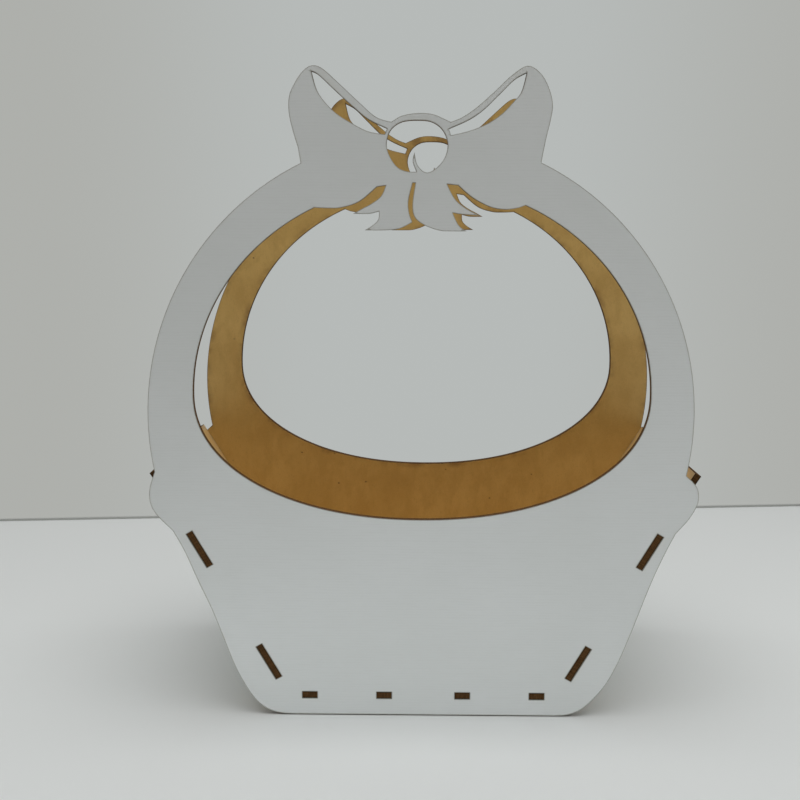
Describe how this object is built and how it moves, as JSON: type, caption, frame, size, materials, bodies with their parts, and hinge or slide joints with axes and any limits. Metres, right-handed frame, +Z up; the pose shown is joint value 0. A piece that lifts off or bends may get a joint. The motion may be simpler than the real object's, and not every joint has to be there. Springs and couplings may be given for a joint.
{
  "type": "flower girl basket",
  "caption": "Flat-pack basket of slotted white-faced boards with a hoop handle and cut-out bow on each panel.",
  "frame": {"origin": "on the resting plane, under the middle of the whole basket", "axes": "+Z up; the front panel faces -Y; +X to the right as seen from the front"},
  "size_m": [0.2398, 0.114, 0.2812],
  "materials": {
    "raw_hardboard": "matt raw brown hardboard, cut edges scorched dark by the laser",
    "white_foil": "satin white foil with a fine embossed line grain"
  },
  "bodies": {
    "root": {"front_board": "raw_hardboard", "front_foil": "white_foil", "back_board": "raw_hardboard", "back_foil": "white_foil", "right_side_board": "raw_hardboard", "right_side_foil": "white_foil", "left_side_board": "raw_hardboard", "left_side_foil": "white_foil", "base_board": "raw_hardboard", "base_foil": "white_foil"}
  },
  "joints": []
}
